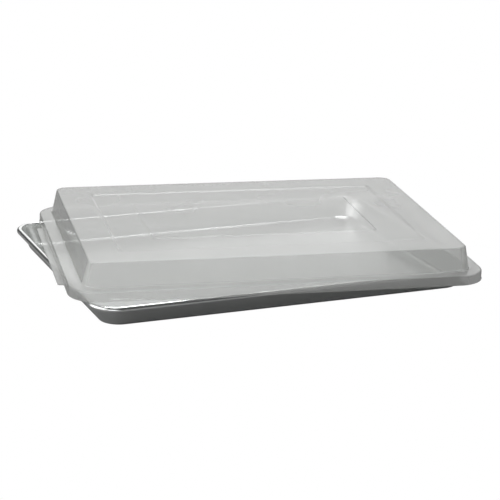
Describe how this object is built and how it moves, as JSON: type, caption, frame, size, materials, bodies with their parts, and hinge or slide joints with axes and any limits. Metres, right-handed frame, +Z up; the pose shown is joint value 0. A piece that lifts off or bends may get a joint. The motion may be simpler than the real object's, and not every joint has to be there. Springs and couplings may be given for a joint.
{
  "type": "half-size sheet pan with cover",
  "caption": "Half-size aluminium sheet pan with a wire-rolled rim and a translucent domed storage cover laid askew on it; the cover lifts off.",
  "frame": {"origin": "centre of the pan's flat underside", "axes": "+Z up, out of the pan; +X along the pan's long side; +Y along its short side, away from the side that the cover overhangs"},
  "size_m": [0.5034, 0.3988, 0.064],
  "materials": {
    "pan_aluminium": "smooth mill finish with faint drawing marks",
    "wire_steel": "zinc plated",
    "cover_plastic": "translucent polypropylene, satin"
  },
  "bodies": {
    "pan": {"sheet_pan": "pan_aluminium", "rim_wire": "wire_steel"},
    "lid": {"cover": "cover_plastic"}
  },
  "joints": [
    {"name": "cover_lift", "type": "slide", "parent": "pan", "child": "lid", "axis": [0, 0, 1], "range_m": [0, 0.15]}
  ]
}
